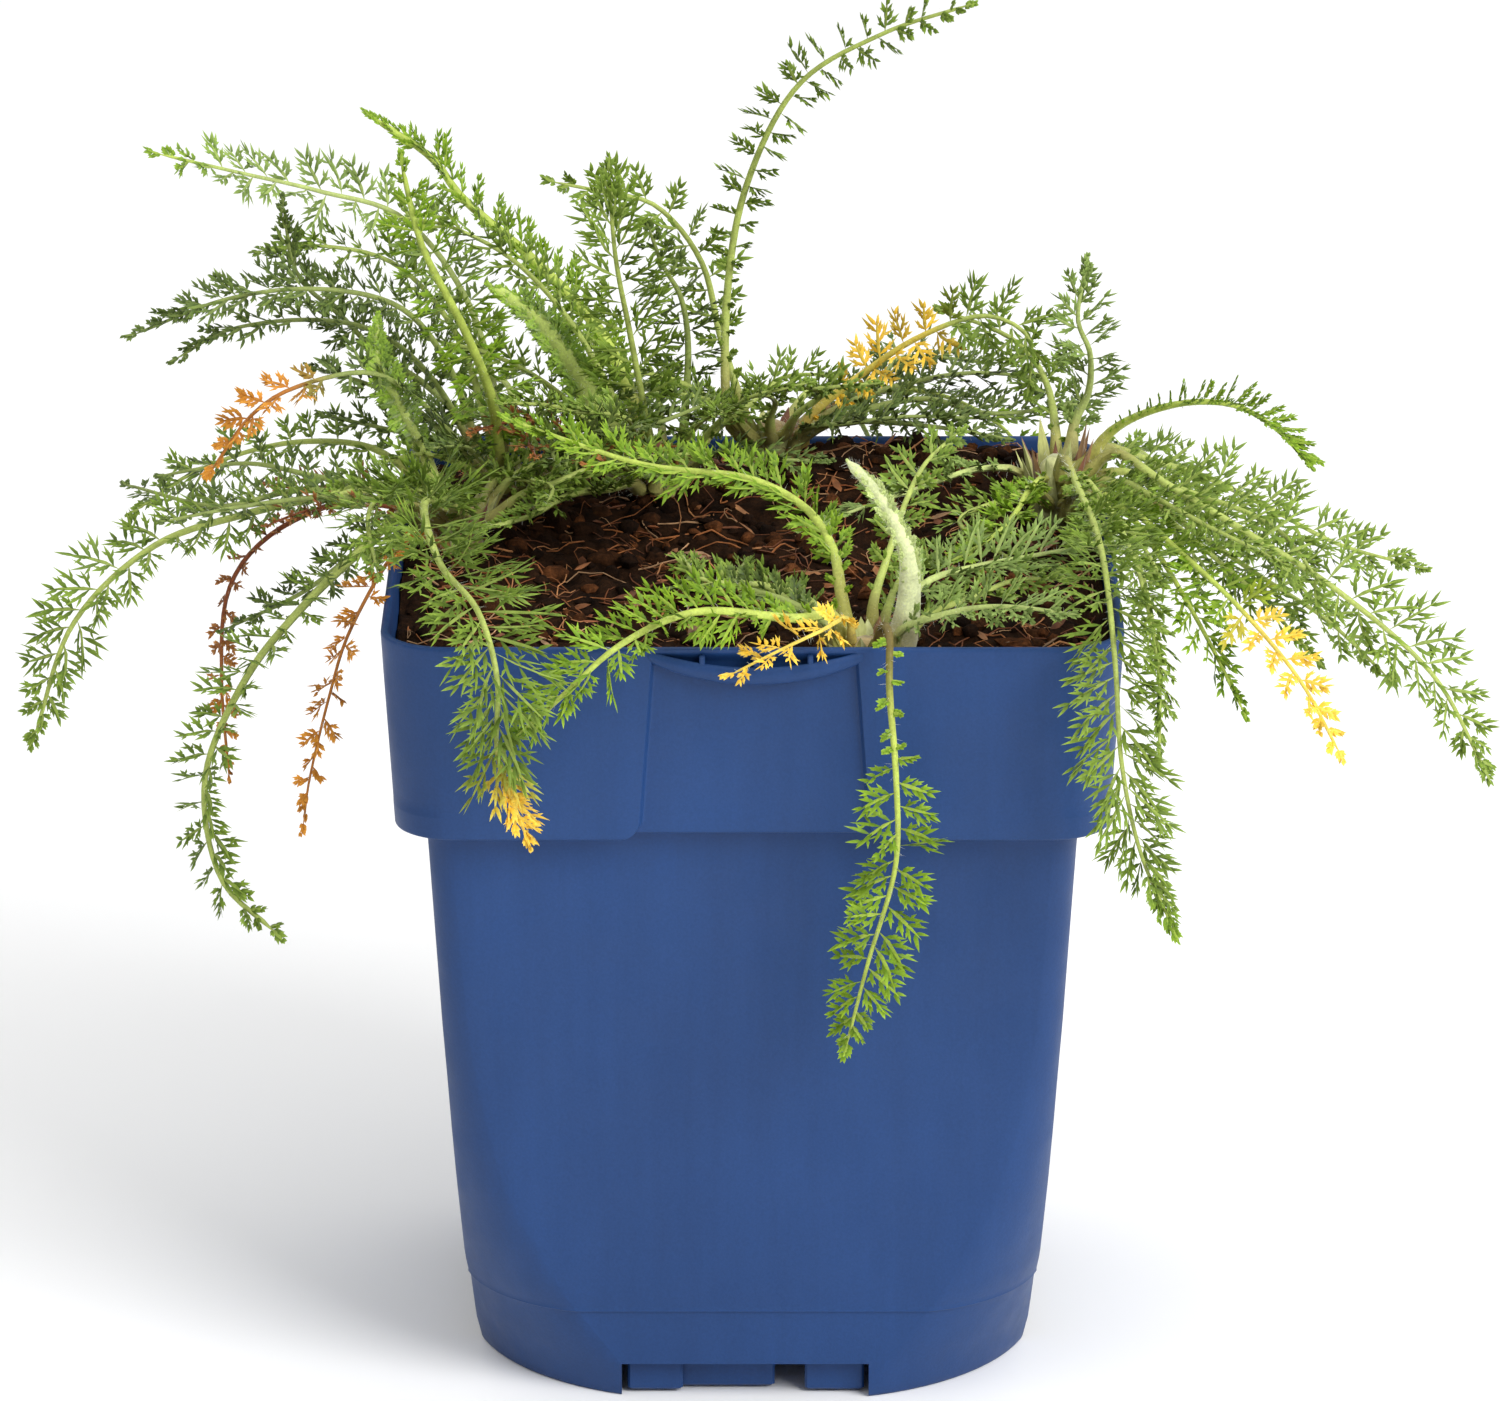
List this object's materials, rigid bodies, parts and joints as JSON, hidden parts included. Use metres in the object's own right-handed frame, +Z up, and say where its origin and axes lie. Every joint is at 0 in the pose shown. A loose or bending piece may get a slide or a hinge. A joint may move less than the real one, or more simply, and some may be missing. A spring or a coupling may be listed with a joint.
{
  "type": "potted plant",
  "caption": "Bushy feathery-leaved yarrow plant growing in peat soil in a square tapered blue nursery pot with a stepped collar.",
  "frame": {"origin": "middle of the overall box in plan, at the surface that the pot stands on; it lies on the pot's upright axis to within 2 mm", "axes": "+Z up, -Y towards the side of the rim with the label pocket, +X to the right as seen from there"},
  "size_m": [0.2231, 0.1495, 0.1995],
  "materials": {
    "pot_plastic": "blue moulded plastic with a soft sheen and fine handling marks",
    "soil": "dark peat compost with orange-brown fibres",
    "crown_wood": "brown scaly crown",
    "leaf_green": "mid green leaf, soft",
    "leaf_dark_green": "dark green leaf",
    "leaf_fresh_green": "light fresh green leaf",
    "leaf_grey_green": "grey-green hairy leaf",
    "leaf_young_hairy": "pale folded young leaf with white hairs",
    "leaf_yellow": "yellowing leaf",
    "leaf_orange": "orange-brown withered leaf",
    "leaf_dead_brown": "dry dark brown leaf"
  },
  "bodies": {
    "root": {"pot": "pot_plastic", "soil": "soil", "crown_a": "crown_wood", "crown_b": "crown_wood", "crown_c": "crown_wood", "crown_d": "crown_wood", "crown_e": "crown_wood", "crown_f": "crown_wood", "frond_tall": "leaf_green", "frond_far_left_high": "leaf_green", "frond_long_up": "leaf_green", "frond_far_right": "leaf_green", "frond_far_left_low": "leaf_green", "frond_bush_front": "leaf_fresh_green", "frond_corner_droop": "leaf_green", "frond_front_hang": "leaf_green", "frond_left_droop": "leaf_green", "frond_rim_left": "leaf_fresh_green", "frond_centre_long": "leaf_fresh_green", "frond_right_high": "leaf_green", "frond_left_front_up": "leaf_green", "frond_left_dark": "leaf_dark_green", "frond_left_dark_low": "leaf_dark_green", "frond_left_orange": "leaf_orange", "frond_left_mid": "leaf_green", "frond_left_small": "leaf_dark_green", "frond_dead_brown": "leaf_dead_brown", "frond_dead_orange": "leaf_orange", "frond_young_light": "leaf_young_hairy", "frond_spear_big": "leaf_young_hairy", "frond_broad_up": "leaf_green", "frond_back_arch": "leaf_green", "frond_back_fan": "leaf_dark_green", "frond_spear_white": "leaf_young_hairy", "frond_right_up": "leaf_green", "frond_right_over": "leaf_fresh_green", "frond_right_low": "leaf_fresh_green", "frond_inner_left": "leaf_dark_green", "frond_label_yellow": "leaf_yellow", "frond_soil_left": "leaf_grey_green", "frond_soil_right": "leaf_grey_green", "frond_right_soil_front": "leaf_fresh_green", "frond_c_up": "leaf_fresh_green", "frond_c_back": "leaf_green", "frond_young_right": "leaf_fresh_green", "frond_right_mid": "leaf_green", "frond_yellow_right": "leaf_yellow", "frond_right_back_low": "leaf_green", "frond_yellow_arch": "leaf_yellow", "frond_soil_back": "leaf_dark_green", "frond_back_left_hang": "leaf_green", "frond_back_centre_hang": "leaf_dark_green", "frond_back_right_hang": "leaf_green", "frond_back_corner_long": "leaf_green", "frond_back_high": "leaf_fresh_green"}
  },
  "joints": []
}
